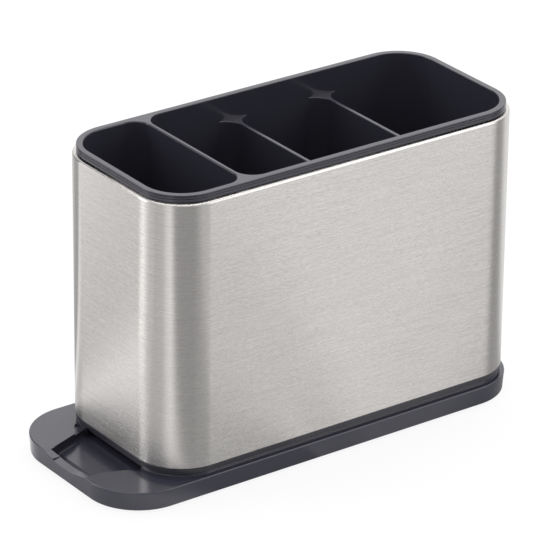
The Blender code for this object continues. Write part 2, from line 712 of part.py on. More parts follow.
def main():
    for piece in list(bpy.data.objects):
        bpy.data.objects.remove(piece, do_unlink=True)
    dark = plain_material("tray_plastic", TRAY_FINISH)
    inner = plain_material("caddy_plastic", CADDY_FINISH)
    hidden = plain_material("frame_plastic", FRAME_FINISH)
    steel = plain_material("brushed_steel", STEEL_FINISH)
    rubber = plain_material("foot_rubber", RUBBER_FINISH)

    tray_base = make_empty("tray_base", (0.0, 0.0, 0.0), None)
    holder_lift = make_empty("holder_lift", (HOLDER_X, 0.0, 0.0), tray_base)
    caddy_lift = make_empty("caddy_lift", (0.0, 0.0, 0.0), holder_lift)

    make_tray(tray_base, dark)
    for name, x, y in foot_places():
        make_foot(name, x, y, tray_base, rubber)
    make_frame(holder_lift, hidden)
    make_sleeve(holder_lift, steel)
    make_caddy(caddy_lift, inner)
    bpy.context.view_layer.update()


main()
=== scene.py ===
"""Cutlery drainer: a steel sleeve with a four-pocket caddy on a drip tray with a pouring spout."""

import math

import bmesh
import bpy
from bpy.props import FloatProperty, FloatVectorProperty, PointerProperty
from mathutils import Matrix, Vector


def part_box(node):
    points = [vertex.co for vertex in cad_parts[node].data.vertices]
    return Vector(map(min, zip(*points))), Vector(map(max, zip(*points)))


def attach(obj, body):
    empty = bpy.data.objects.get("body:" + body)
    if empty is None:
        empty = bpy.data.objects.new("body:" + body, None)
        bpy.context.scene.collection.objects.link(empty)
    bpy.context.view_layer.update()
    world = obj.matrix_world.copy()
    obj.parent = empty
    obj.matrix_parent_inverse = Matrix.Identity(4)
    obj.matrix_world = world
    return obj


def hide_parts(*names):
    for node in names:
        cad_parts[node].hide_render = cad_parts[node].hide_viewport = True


bl_info = {
    "name": "Cutlery Drainer",
    "version": (1, 0, 0),
    "blender": (4, 5, 0),
    "location": "View3D > Sidebar > Drainer",
    "description": "Models a cutlery drainer piece by piece and sets up its studio",
    "category": "Object",
}

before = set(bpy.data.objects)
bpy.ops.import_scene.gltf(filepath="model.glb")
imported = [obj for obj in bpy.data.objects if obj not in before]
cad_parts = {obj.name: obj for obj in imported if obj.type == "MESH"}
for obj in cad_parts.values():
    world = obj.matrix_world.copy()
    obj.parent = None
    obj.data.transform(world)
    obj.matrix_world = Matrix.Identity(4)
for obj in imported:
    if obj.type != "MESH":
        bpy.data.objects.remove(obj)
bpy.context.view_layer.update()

MM = 0.001

# Corners of the fixed pieces
SLEEVE_LOW, SLEEVE_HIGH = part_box("steel_sleeve")
CADDY_LOW, CADDY_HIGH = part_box("cutlery_caddy")
TRAY_LOW, TRAY_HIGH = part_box("drip_tray")
FRAME_LOW, FRAME_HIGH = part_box("base_frame")
FOOT_NODES = ("foot_spout_front", "foot_spout_back", "foot_end_front", "foot_end_back")

# Fineness of round forms
SLEEVE_SEGMENTS = 48
CORNER_SEGMENTS = 32
ROUND_SEGMENTS = 6
SMALL_SEGMENTS = 3
CYLINDER_SIDES = 48
SMOOTH_ANGLE = math.radians(32)

# A cutter's reach past what it cuts and over an open top, and the gap between seated pieces
CUT_OVERLAP = 1.0 * MM
CUT_RISE = 3.0 * MM
SEAT_GAP = 0.3 * MM

# What counts as touching, as level and as upright
NEAR = 0.01 * MM
LEVEL_NORMAL = 0.9
UPRIGHT_SLOPE = 0.001

# The tray's levels, its shelf, and the lip that the holder stands on
APRON_Z = 10.6 * MM
HEAD_Z = 6.3 * MM
WELL_Z = 3.2 * MM
SHELF_WIDTH = 3.5 * MM
LIP_INSET = 1.2 * MM
LIP_WIDTH = 2.0 * MM
LIP_ROUND = 0.6 * MM

# The caddy's walls, rim and floor
CADDY_INSET = CADDY_LOW.x - SLEEVE_LOW.x
CADDY_WALL = 2.0 * MM
CADDY_DRAFT = 2.0 * MM
DIVIDER_DRAFT = 0.5 * MM
POCKET_FILLET = 3.0 * MM
CADDY_FLOOR_Z = CADDY_LOW.z + CADDY_WALL
RIM_OVERHANG = 1.4 * MM
RIM_LOW_Z = SLEEVE_HIGH.z + 0.5 * MM

# The frame's wall and the ledge that the caddy stands on
FRAME_WALL = 1.6 * MM
LEDGE_TOP_Z = CADDY_LOW.z - SEAT_GAP
LEDGE_LOW_Z = LEDGE_TOP_Z - 2.0 * MM

# Shadow grooves round the rim, each by its drop under the top, its height and its depth
RIM_GROOVES = ((0.7 * MM, 0.3 * MM, 0.5 * MM), (1.9 * MM, 0.3 * MM, 0.4 * MM))


class Plan:
    """A rounded rectangle seen from above, centred on the X axis."""

    def __init__(self, low_x, high_x, half_width, low_radius=0.0, high_radius=0.0):
        self.low_x = low_x
        self.high_x = high_x
        self.half_width = half_width
        self.low_radius = low_radius
        self.high_radius = high_radius

    def drawn_in(self, inset):
        return Plan(
            self.low_x + inset, self.high_x - inset, self.half_width - inset,
            self.low_radius - inset, self.high_radius - inset)


def holder_plan(inset):
    """The steel sleeve's outline drawn in by inset."""
    radius = bpy.context.scene.drainer_sleeve.corner_radius
    plan = Plan(SLEEVE_LOW.x, SLEEVE_HIGH.x, SLEEVE_HIGH.y, radius, radius)
    return plan.drawn_in(inset)


# Selecting


def select_nothing():
    """Leaves edit mode and deselects every object."""
    if bpy.context.mode != "OBJECT":
        bpy.ops.object.mode_set(mode="OBJECT")
    bpy.ops.object.select_all(action="DESELECT")


def select_only(piece):
    select_nothing()
    piece.select_set(True)
    bpy.context.view_layer.objects.active = piece


def edit(piece):
    select_only(piece)
    bpy.ops.object.mode_set(mode="EDIT")


def pick(kind, test):
    """Selects the edited piece's vertices, edges or faces that pass a test, and nothing else."""
    bpy.ops.mesh.select_mode(type=kind)
    bpy.ops.mesh.select_all(action="DESELECT")
    mesh = bpy.context.object.data
    bm = bmesh.from_edit_mesh(mesh)
    bm.normal_update()
    items = {"VERT": bm.verts, "EDGE": bm.edges, "FACE": bm.faces}[kind]
    for item in items:
        if test(item):
            item.select_set(True)
    bm.select_flush_mode()
    bmesh.update_edit_mesh(mesh)


def pick_cap(side):
    """Selects the highest level face for side 1, or the lowest for side -1."""
    def level(face):
        return side * face.normal.z > LEVEL_NORMAL

    bm = bmesh.from_edit_mesh(bpy.context.object.data)
    bm.normal_update()
    reach = max(side * face.calc_center_median().z for face in bm.faces if level(face))
    pick("FACE", lambda face: level(face) and side * face.calc_center_median().z > reach - NEAR)


def upright(edge):
    """Whether an edge runs straight up."""
    first, second = (vert.co for vert in edge.verts)
    return (first - second).xy.length < UPRIGHT_SLOPE * abs(first.z - second.z)


def at_level(edge, z):
    """Whether both ends of an edge lie at height z."""
    return all(abs(vert.co.z - z) < NEAR for vert in edge.verts)


def middle_of(edge):
    return (edge.verts[0].co + edge.verts[1].co) / 2


# Shaping


def name_active(name):
    piece = bpy.context.object
    piece.name = name
    piece.data.name = name
    return piece


def round_off(radius, segments):
    """Rounds the selected edges."""
    bpy.ops.mesh.bevel(offset=radius, segments=segments, affect="EDGES", clamp_overlap=False)


def slice_at(place, normal, **options):
    """Cuts the edited piece all through along a plane."""
    bpy.ops.mesh.select_all(action="SELECT")
    bpy.ops.mesh.bisect(plane_co=place, plane_no=normal, **options)


def start_block(name, plan, low_z, high_z, segments=CORNER_SEGMENTS):
    """Adds a block on a plan, rounds its upright edges and leaves it in edit mode."""
    select_nothing()
    middle = ((plan.low_x + plan.high_x) / 2, 0.0, (low_z + high_z) / 2)
    bpy.ops.mesh.primitive_cube_add(size=1.0, location=middle)
    block = name_active(name)
    block.scale = (plan.high_x - plan.low_x, 2 * plan.half_width, high_z - low_z)
    bpy.ops.object.transform_apply(location=True, rotation=True, scale=True)
    bpy.ops.object.mode_set(mode="EDIT")
    for radius, side in ((plan.low_radius, -1), (plan.high_radius, 1)):
        if radius > 0.0:
            pick("EDGE", lambda edge: upright(edge) and side * (edge.verts[0].co.x - middle[0]) > 0)
            round_off(radius, segments)
    return block


def cylinder(name, radius, low_z, high_z, x, y):
    """Adds an upright cylinder with its place in its mesh."""
    select_nothing()
    bpy.ops.mesh.primitive_cylinder_add(
        vertices=CYLINDER_SIDES, radius=radius, depth=high_z - low_z, location=(x, y, (low_z + high_z) / 2))
    piece = name_active(name)
    bpy.ops.object.transform_apply(location=True, rotation=True, scale=True)
    return piece


def quarter(radius, count, steep_first):
    """Steps of a quarter round, which sets out along the cap's normal or inwards."""
    steps = []
    for number in range(count):
        low = math.pi / 2 * number / count
        high = math.pi / 2 * (number + 1) / count
        rise = radius * (math.sin(high) - math.sin(low))
        run = radius * (math.cos(low) - math.cos(high))
        steps.append((run, rise) if steep_first else (rise, run))
    return steps


def mouth_steps(radius, count, lead):
    """Steps of a cutter's rounded mouth, which sets out by lead outside and above the round."""
    first, *rest = quarter(radius, count, False)
    return [(first[0] + lead, first[1] + lead)] + rest


def draw_in(side, steps):
    """Steps the selected cap inwards by each first value and along side by each second."""
    for inward, along in steps:
        if inward > 0.0:
            bpy.ops.mesh.inset(thickness=inward, depth=along, use_even_offset=True)
        else:
            bpy.ops.mesh.extrude_region_move(TRANSFORM_OT_translate={"value": (0.0, 0.0, side * along)})


def apply_modifier(piece, kind, **values):
    """Adds a modifier with its values and applies it."""
    select_only(piece)
    modifier = piece.modifiers.new(kind.lower(), kind)
    for key, value in values.items():
        setattr(modifier, key, value)
    bpy.ops.object.modifier_apply(modifier=modifier.name)


def combine(piece, tool, operation):
    """Cuts the tool out of the piece, or joins it on, and removes the tool."""
    apply_modifier(piece, "BOOLEAN", operation=operation, solver="EXACT", object=tool)
    bpy.data.objects.remove(tool, do_unlink=True)


def repeated(piece, places):
    """Copies a piece to each x, y and turn, joins the copies into one and removes the piece."""
    select_nothing()
    copies = []
    for x, y, turn in places:
        copy = piece.copy()
        copy.data = piece.data.copy()
        bpy.context.collection.objects.link(copy)
        copy.location = (x, y, 0.0)
        copy.rotation_euler.z = turn
        copy.select_set(True)
        copies.append(copy)
    bpy.data.objects.remove(piece, do_unlink=True)
    bpy.context.view_layer.objects.active = copies[0]
    bpy.ops.object.join()
    bpy.ops.object.transform_apply(location=True, rotation=True, scale=True)
    return bpy.context.object


def finish_piece(piece, material, body, slot, *nodes):
    """Shades the piece, gives it its finish and lets it stand for its fixed nodes."""
    select_only(piece)
    bpy.ops.object.shade_smooth_by_angle(angle=SMOOTH_ANGLE)
    apply_modifier(piece, "WEIGHTED_NORMAL", mode="FACE_AREA", weight=60, keep_sharp=True)
    piece.data.materials.clear()
    piece.data.materials.append(material)
    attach(piece, body)
    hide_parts(*nodes)


# Finishes

WHITE = (1.0, 1.0, 1.0, 1.0)

# Where most of a noise pattern's values lie
NOISE_RANGE = (0.3, 0.7)

# Cells per metre across and up the steel, in its short and long scratches and its clouds
SHORT_GRAIN = (400.0, 400.0, 2200.0)
LONG_GRAIN = (50.0, 50.0, 1500.0)
CLOUDS = (12.0, 12.0, 16.0)

# Each plastic's roughness where it is smoothest and roughest, and the depth of its grain
CADDY_FINISH = (0.15, 0.21, 0.002 * MM)
TRAY_FINISH = (0.17, 0.24, 0.002 * MM)
FRAME_FINISH = (0.24, 0.32, 0.003 * MM)


def new_material(name):
    """A material's tree, its shader and its Object coordinates."""
    material = bpy.data.materials.new(name)
    material.use_nodes = True
    tree = material.node_tree
    place = tree.nodes.new("ShaderNodeTexCoord").outputs["Object"]
    return material, tree, tree.nodes["Principled BSDF"], place


def set_inputs(tree, node, inputs):
    """Joins each input to a node's output, or gives it a plain value."""
    for key, value in inputs.items():
        if isinstance(value, bpy.types.NodeSocket):
            tree.links.new(value, node.inputs[key])
        else:
            node.inputs[key].default_value = value


def add_node(tree, kind, inputs, **options):
    """Adds a node with its options and inputs."""
    node = tree.nodes.new(kind)
    for key, value in options.items():
        setattr(node, key, value)
    set_inputs(tree, node, inputs)
    return node


def computed(tree, operation, *terms):
    """What a Math node makes of its terms."""
    return add_node(tree, "ShaderNodeMath", dict(enumerate(terms)), operation=operation).outputs[0]


def noise(tree, place, scale, detail):
    inputs = {"Vector": place, "Scale": scale, "Detail": detail}
    return add_node(tree, "ShaderNodeTexNoise", inputs).outputs["Fac"]


def stretched(tree, place, scale):
    """Coordinates for a pattern drawn out by scale and turned, so that its cells don't form rows."""
    turn = (0.7, 0.5, 1.1)
    inputs = {"Vector": place, "Scale": scale, "Rotation": turn}
    return add_node(tree, "ShaderNodeMapping", inputs).outputs["Vector"]


def spread(tree, source, from_range, to_range):
    """Maps a stretch of values onto another."""
    inputs = {
        "Value": source, "From Min": from_range[0], "From Max": from_range[1],
        "To Min": to_range[0], "To Max": to_range[1]}
    return add_node(tree, "ShaderNodeMapRange", inputs).outputs["Result"]


def shaded(tree, colour, level):
    """A colour made lighter or darker by level."""
    return add_node(tree, "ShaderNodeVectorMath", {0: colour, "Scale": level}, operation="SCALE").outputs[0]


def mixed_values(tree, share, first, second):
    return add_node(tree, "ShaderNodeMix", {0: share, 2: first, 3: second}, data_type="FLOAT").outputs[0]


def mixed_colours(tree, share, first, second):
    return add_node(tree, "ShaderNodeMix", {0: share, 6: first, 7: second}, data_type="RGBA").outputs[2]


def bumped(tree, height, strength, distance):
    inputs = {"Height": height, "Strength": strength, "Distance": distance}
    return add_node(tree, "ShaderNodeBump", inputs).outputs["Normal"]


def moulded_group():
    """Moulded plastic's fine grain and soft flow marks, used by every plastic piece."""
    group = bpy.data.node_groups.new("moulded_surface", "ShaderNodeTree")
    sockets = (
        ("Place", "INPUT", "NodeSocketVector", None),
        ("Colour", "INPUT", "NodeSocketColor", (0.03, 0.03, 0.04, 1.0)),
        ("Variation", "INPUT", "NodeSocketFloat", 0.08),
        ("Grain per metre", "INPUT", "NodeSocketFloat", 2600.0),
        ("Smoothest", "INPUT", "NodeSocketFloat", 0.32),
        ("Roughest", "INPUT", "NodeSocketFloat", 0.42),
        ("Colour", "OUTPUT", "NodeSocketColor", None),
        ("Roughness", "OUTPUT", "NodeSocketFloat", None),
        ("Height", "OUTPUT", "NodeSocketFloat", None),
    )
    for name, direction, kind, value in sockets:
        socket = group.interface.new_socket(name=name, in_out=direction, socket_type=kind)
        if value is not None:
            socket.default_value = value
    given = group.nodes.new("NodeGroupInput").outputs
    flow = noise(group, given["Place"], scale=22.0, detail=3.0)
    swing = computed(group, "MULTIPLY", computed(group, "SUBTRACT", flow, 0.5), given["Variation"])
    gloss = {"Value": flow, "To Min": given["Smoothest"], "To Max": given["Roughest"]}
    set_inputs(group, group.nodes.new("NodeGroupOutput"), {
        "Colour": shaded(group, given["Colour"], computed(group, "ADD", swing, 1.0)),
        "Roughness": add_node(group, "ShaderNodeMapRange", gloss).outputs["Result"],
        "Height": noise(group, given["Place"], given["Grain per metre"], detail=2.0),
    })
    return group


def moulded_plastic(name, colour, smoothest, roughest, grain_height):
    """A piece's plastic, with its own colour, gloss and depth of grain."""
    group = bpy.data.node_groups.get("moulded_surface") or moulded_group()
    material, tree, shader, place = new_material(name)
    inputs = {"Place": place, "Colour": (*colour, 1.0), "Smoothest": smoothest, "Roughest": roughest}
    surface = add_node(tree, "ShaderNodeGroup", inputs, node_tree=group).outputs
    set_inputs(tree, shader, {
        "Base Color": surface["Colour"],
        "Roughness": surface["Roughness"],
        "Normal": bumped(tree, surface["Height"], strength=1.0, distance=grain_height),
        "IOR": 1.55,
    })
    return material


def seam_mask(tree, place):
    """The narrow welded strip down the middle of the sleeve's back."""
    middle_x = (SLEEVE_LOW.x + SLEEVE_HIGH.x) / 2
    parts = add_node(tree, "ShaderNodeSeparateXYZ", {0: place}).outputs
    aside = computed(tree, "ABSOLUTE", computed(tree, "SUBTRACT", parts["X"], middle_x))
    side_fade = (0.35 * MM, 0.7 * MM)
    back_fade = (0.0, 1.0 * MM)
    strip = spread(tree, aside, side_fade, (1.0, 0.0))
    back = spread(tree, parts["Y"], back_fade, (0.0, 1.0))
    return computed(tree, "MULTIPLY", strip, back)


def brushed_steel(colour):
    """Stainless sheet with a fine level grain all round the sleeve and a welded seam at the back."""
    material, tree, shader, place = new_material("brushed_steel")
    seam_colour = (0.48, 0.465, 0.45, 1.0)
    long_share = 0.4
    short = noise(tree, stretched(tree, place, SHORT_GRAIN), scale=1.0, detail=2.0)
    long = noise(tree, stretched(tree, place, LONG_GRAIN), scale=1.0, detail=3.0)
    clouds = noise(tree, stretched(tree, place, CLOUDS), scale=1.0, detail=2.0)
    grain = mixed_values(tree, long_share, short, long)
    seam = seam_mask(tree, place)
    shade = shaded(tree, colour, spread(tree, grain, NOISE_RANGE, (0.88, 1.10)))
    scratches = spread(tree, grain, NOISE_RANGE, (0.23, 0.28))
    haze = spread(tree, clouds, NOISE_RANGE, (-0.015, 0.015))
    around = add_node(tree, "ShaderNodeTangent", {}, direction_type="RADIAL", axis="Z")
    relief = computed(tree, "ADD", grain, seam)
    set_inputs(tree, shader, {
        "Base Color": mixed_colours(tree, seam, shade, seam_colour),
        "Roughness": computed(tree, "ADD", scratches, haze),
        "Normal": bumped(tree, relief, strength=0.03, distance=0.02 * MM),
        "Tangent": around.outputs["Tangent"],
        "Metallic": 1.0,
        "Anisotropic": 1.0,
        "Anisotropic Rotation": 0.25,
    })
    return material


def rubber(colour):
    """Dull black rubber with a fine grain."""
    material, tree, shader, place = new_material("foot_rubber")
    full_range = (0.2, 0.8)
    grain = noise(tree, place, scale=1800.0, detail=3.0)
    set_inputs(tree, shader, {
        "Base Color": shaded(tree, colour, spread(tree, grain, full_range, (0.8, 1.2))),
        "Roughness": spread(tree, grain, full_range, (0.7, 0.9)),
        "Normal": bumped(tree, grain, strength=0.5, distance=0.05 * MM),
    })
    return material


# Steel sleeve


class DrainerSleeveSettings(bpy.types.PropertyGroup):
    corner_radius: FloatProperty(
        name="Corner radius", description="Radius of the sleeve's upright corners",
        default=25.0 * MM, unit="LENGTH")
    sheet: FloatProperty(
        name="Sheet", description="Thickness of the steel", default=0.6 * MM, unit="LENGTH")
    edge_radius: FloatProperty(
        name="Rolled edge", description="Radius of the rolled top edge", default=1.2 * MM, unit="LENGTH")
    foot_radius: FloatProperty(
        name="Foot edge", description="Radius of the folded lower edge", default=0.35 * MM, unit="LENGTH")
    return_width: FloatProperty(
        name="Return", description="How far the folded edges reach inwards", default=3.0 * MM, unit="LENGTH")
    colour: FloatVectorProperty(
        name="Steel", description="Colour of the bare steel", default=(0.615, 0.594, 0.576), subtype="COLOR")


class DRAINER_OT_sleeve(bpy.types.Operator):
    """Models the rolled steel sleeve"""

    bl_idname = "drainer.sleeve"
    bl_label = "Steel Sleeve"

    def execute(self, context):
        settings = context.scene.drainer_sleeve
        roll_segments = 8
        foot_z = SLEEVE_LOW.z + settings.foot_radius
        top_z = SLEEVE_HIGH.z - settings.edge_radius
        sleeve = start_block("sleeve_shell", holder_plan(0.0), foot_z, top_z, SLEEVE_SEGMENTS)
        for side, radius in ((-1, settings.foot_radius), (1, settings.edge_radius)):
            pick_cap(side)
            draw_in(side, quarter(radius, roll_segments, True) + [(settings.return_width - radius, 0.0)])
            bpy.ops.mesh.delete(type="FACE")
        apply_modifier(sleeve, "SOLIDIFY", thickness=settings.sheet, offset=-1.0, use_even_offset=True)
        finish_piece(sleeve, brushed_steel(settings.colour), "holder", "brushed_steel", "steel_sleeve")
        return {"FINISHED"}


# Cutlery caddy


class DrainerCaddySettings(bpy.types.PropertyGroup):
    first_pocket: FloatProperty(
        name="First pocket", description="Length of the small pocket at the spout end",
        default=41.6 * MM, unit="LENGTH")
    divider: FloatProperty(
        name="Divider", description="Thickness of a divider at its top", default=2.0 * MM, unit="LENGTH")
    divider_drop: FloatProperty(
        name="Low dividers", description="How far the two low dividers lie under the rim",
        default=12.9 * MM, unit="LENGTH")
    mouth_round: FloatProperty(
        name="Mouth", description="Round on the pockets' top edges", default=0.4 * MM, unit="LENGTH")
    colour: FloatVectorProperty(
        name="Plastic", description="Colour of the caddy's plastic",
        default=(0.034, 0.0335, 0.047), subtype="COLOR")


def caddy_body():
    """The caddy's outside, from its rim down its drafted walls to its rounded foot, in edit mode."""
    rim_round = 0.4 * MM
    foot_round = 2.0 * MM
    wall_low = CADDY_LOW.z + foot_round
    caddy = start_block("caddy_moulding", holder_plan(CADDY_INSET), RIM_LOW_Z, CADDY_HIGH.z - rim_round)
    pick_cap(1)
    draw_in(1, quarter(rim_round, ROUND_SEGMENTS, True))
    pick_cap(-1)
    draw_in(-1, [(RIM_OVERHANG, 0.0), (CADDY_DRAFT, RIM_LOW_Z - wall_low)])
    draw_in(-1, quarter(foot_round, ROUND_SEGMENTS, True))
    return caddy


def groove_rim(drop, height, depth):
    """Cuts a shadow groove round the edited caddy's rim and rounds its lower edge."""
    edge_round = 0.18 * MM
    top_z = CADDY_HIGH.z - drop
    low_z = top_z - height
    for z in (low_z, top_z):
        slice_at((0.0, 0.0, z), (0.0, 0.0, 1.0))
    pick("FACE", lambda face: low_z < face.calc_center_median().z < top_z)
    bpy.ops.mesh.extrude_region_shrink_fatten(
        TRANSFORM_OT_shrink_fatten={"value": -depth, "use_even_offset": True})
    pick("EDGE", lambda edge: at_level(edge, low_z)
         and any(face.calc_center_median().z < low_z - NEAR for face in edge.link_faces))
    round_off(edge_round, SMALL_SEGMENTS)


def pocket_plans(settings):
    """The four pockets' plans at the rim, and the plan of the bay that the last three share."""
    first_corner = 8.5 * MM
    corner = 10.0 * MM
    inner = holder_plan(CADDY_INSET + RIM_OVERHANG + CADDY_WALL)
    first_high = inner.low_x + settings.first_pocket
    bay_low = first_high + settings.divider
    length = (inner.high_x - bay_low - 2 * settings.divider) / 3
    bay = Plan(bay_low, inner.high_x, inner.half_width, corner, inner.high_radius)
    pockets = [Plan(inner.low_x, first_high, inner.half_width, inner.low_radius, first_corner)]
    for number in range(3):
        low_x = bay_low + number * (length + settings.divider)
        pockets.append(Plan(low_x, low_x + length, inner.half_width, corner, corner))
    return pockets, bay


def divider_places(settings):
    """Where the middles of the three dividers stand along the caddy."""
    pockets, bay = pocket_plans(settings)
    return [(before.high_x + after.low_x) / 2 for before, after in zip(pockets, pockets[1:])]


def lean_at(z, draft):
    """How far a drafted wall of the caddy has leaned in at height z."""
    return draft * (CADDY_HIGH.z - z) / (CADDY_HIGH.z - CADDY_LOW.z)


def cavity(name, plan, mouth, low_draft, high_draft):
    """A pocket's space as a cutter, from above its mouth down to its rounded floor."""
    lead = 0.3 * MM
    mouth_segments = 4
    top_z = CADDY_HIGH.z
    wall_top = top_z - mouth
    wall_low = CADDY_FLOOR_Z + POCKET_FILLET
    block = start_block(name, plan.drawn_in(-mouth - lead), top_z + lead, top_z + CUT_RISE)
    pick_cap(-1)
    draw_in(-1, mouth_steps(mouth, mouth_segments, lead))
    draw_in(-1, [(0.0, wall_top - wall_low)])
    side_lean, low_lean, high_lean = (
        lean_at(wall_low, draft) - lean_at(wall_top, draft) for draft in (CADDY_DRAFT, low_draft, high_draft))
    length = plan.high_x - plan.low_x
    scale_x = (length - low_lean - high_lean) / length
    scale_y = 1.0 - side_lean / plan.half_width
    bpy.ops.transform.resize(
        value=(scale_x, scale_y, 1.0), center_override=((plan.low_x + plan.high_x) / 2, 0.0, 0.0))
    bpy.ops.transform.translate(value=((low_lean - high_lean) / 2, 0.0, 0.0))
    draw_in(-1, quarter(POCKET_FILLET, ROUND_SEGMENTS, True))
    return block


def low_divider(before, after, drop):
    """A low divider with flared ends, cut to shape by the pockets before and after it."""
    bite = 0.3 * MM
    top_round = 0.5 * MM
    middle = (before.high_x + after.low_x) / 2
    top_z = CADDY_HIGH.z - drop
    reach = before.high_radius + CUT_OVERLAP
    half_width = before.half_width + CUT_OVERLAP - lean_at(top_z, CADDY_DRAFT)
    plan = Plan(middle - reach, middle + reach, half_width)
    divider = start_block("low_divider", plan, CADDY_FLOOR_Z - CUT_OVERLAP, top_z)
    pick("VERT", lambda vert: vert.co.z < top_z - CUT_OVERLAP)
    lean = lean_at(CADDY_FLOOR_Z, CADDY_DRAFT) - lean_at(top_z, CADDY_DRAFT)
    bpy.ops.transform.resize(value=(1.0, 1.0 - lean / half_width, 1.0), center_override=(middle, 0.0, 0.0))
    for space in (before, after):
        wider = Plan(space.low_x, space.high_x, space.half_width + bite, space.low_radius, space.high_radius)
        combine(divider, cavity("pocket_tool", wider, 0.0, DIVIDER_DRAFT, DIVIDER_DRAFT), "DIFFERENCE")
    edit(divider)
    inside = half_width - CUT_OVERLAP / 2
    pick("EDGE", lambda edge: at_level(edge, top_z)
         and abs(middle_of(edge).y) < inside and abs(middle_of(edge).x - middle) < reach - NEAR)
    round_off(top_round, SMALL_SEGMENTS)
    return divider


def slot_cutters(pockets):
    """Two rows of round-ended drain slots under each pocket, joined into one cutter."""
    length = 22.0 * MM
    width = 4.0 * MM
    spacing = 11.0 * MM
    row_spacing = 34.0 * MM
    end_round = 0.98 * width / 2
    plan = Plan(-width / 2, width / 2, length / 2)
    slot = start_block("slot_tool", plan, CADDY_LOW.z - CUT_OVERLAP, CADDY_FLOOR_Z + CUT_OVERLAP)
    pick("EDGE", upright)
    round_off(end_round, ROUND_SEGMENTS)
    places = []
    for space in pockets:
        room = space.high_x - space.low_x - 2 * (CADDY_DRAFT + POCKET_FILLET) - width
        count = 1 + int(room / spacing)
        middle = (space.low_x + space.high_x) / 2
        for number in range(count):
            x = middle + (number - (count - 1) / 2) * spacing
            places += [(x, side * row_spacing / 2, 0.0) for side in (-1, 1)]
    return repeated(slot, places)


class DRAINER_OT_caddy(bpy.types.Operator):
    """Models the caddy with its rim, pockets, dividers and drain slots"""

    bl_idname = "drainer.caddy"
    bl_label = "Cutlery Caddy"

    def execute(self, context):
        settings = context.scene.drainer_caddy
        mouth = settings.mouth_round
        pockets, bay = pocket_plans(settings)
        caddy = caddy_body()
        for groove in RIM_GROOVES:
            groove_rim(*groove)
        combine(caddy, cavity("first_tool", pockets[0], 2 * mouth, CADDY_DRAFT, DIVIDER_DRAFT), "DIFFERENCE")
        combine(caddy, cavity("bay_tool", bay, mouth, DIVIDER_DRAFT, CADDY_DRAFT), "DIFFERENCE")
        for before, after in zip(pockets[1:], pockets[2:]):
            combine(caddy, low_divider(before, after, settings.divider_drop), "UNION")
        combine(caddy, slot_cutters(pockets), "DIFFERENCE")
        finish = moulded_plastic("caddy_plastic", settings.colour, *CADDY_FINISH)
        finish_piece(caddy, finish, "caddy", "caddy_plastic", "cutlery_caddy")
        return {"FINISHED"}


# Drip tray


class DrainerTraySettings(bpy.types.PropertyGroup):
    channel_mouth: FloatProperty(
        name="Channel mouth", description="Width of the spout channel at the holder",
        default=50.0 * MM, unit="LENGTH")
    channel_end: FloatProperty(
        name="Channel end", description="Width of the spout channel at the pouring lip",
        default=33.0 * MM, unit="LENGTH")
    notch_width: FloatProperty(
        name="Notch", description="Width of the pouring notch", default=37.0 * MM, unit="LENGTH")
    notch_depth: FloatProperty(
        name="Notch depth", description="Depth of the pouring notch under the apron",
        default=2.1 * MM, unit="LENGTH")
    beak_width: FloatProperty(
        name="Beak", description="Width of the notch's lower middle part", default=19.0 * MM, unit="LENGTH")
    colour: FloatVectorProperty(
        name="Plastic", description="Colour of the tray's plastic",
        default=(0.034, 0.034, 0.050), subtype="COLOR")


def tray_slab(plan):
    """The tray's outside, with a rounded upper edge, a little draft and a rounded foot."""
    top_round = 0.6 * MM
    foot_round = 0.4 * MM
    draft = 0.6 * MM
    band = 0.1 * MM
    wall_top = APRON_Z - top_round - band
    tray = start_block("tray_moulding", plan, wall_top, APRON_Z - top_round)
    pick_cap(1)
    draw_in(1, quarter(top_round, ROUND_SEGMENTS, True))
    pick_cap(-1)
    draw_in(-1, [(draft, wall_top - TRAY_LOW.z - foot_round)] + quarter(foot_round, SMALL_SEGMENTS, True))
    return tray


def add_lip(tray):
    """Joins on the lip that carries the holder, with a fillet along its outer foot."""
    bury = 2.0 * MM
    fillet = 0.4 * MM
    lip = start_block("lip_block", holder_plan(LIP_INSET), APRON_Z - bury, TRAY_HIGH.z - LIP_ROUND)
    pick_cap(1)
    draw_in(1, quarter(LIP_ROUND, ROUND_SEGMENTS, True))
    combine(tray, lip, "UNION")
    edit(tray)
    outline = holder_plan(LIP_INSET - fillet / 2)
    pick("EDGE", lambda edge: at_level(edge, APRON_Z)
         and outline.low_x < middle_of(edge).x < outline.high_x
         and abs(middle_of(edge).y) < outline.half_width)
    round_off(fillet, SMALL_SEGMENTS)


def well_cutter():
    """The well's space, from the lip's rounded inner edge down to its rounded floor."""
    lead = 0.2 * MM
    fillet = 2.0 * MM
    mouth = holder_plan(LIP_INSET + LIP_WIDTH - LIP_ROUND - lead)
    well = start_block("well_tool", mouth, TRAY_HIGH.z + lead, TRAY_HIGH.z + CUT_RISE)
    pick_cap(-1)
    draw_in(-1, mouth_steps(LIP_ROUND, ROUND_SEGMENTS, lead))
    draw_in(-1, [(0.0, TRAY_HIGH.z - LIP_ROUND - WELL_Z - fillet)])
    draw_in(-1, quarter(fillet, ROUND_SEGMENTS, True))
    return well


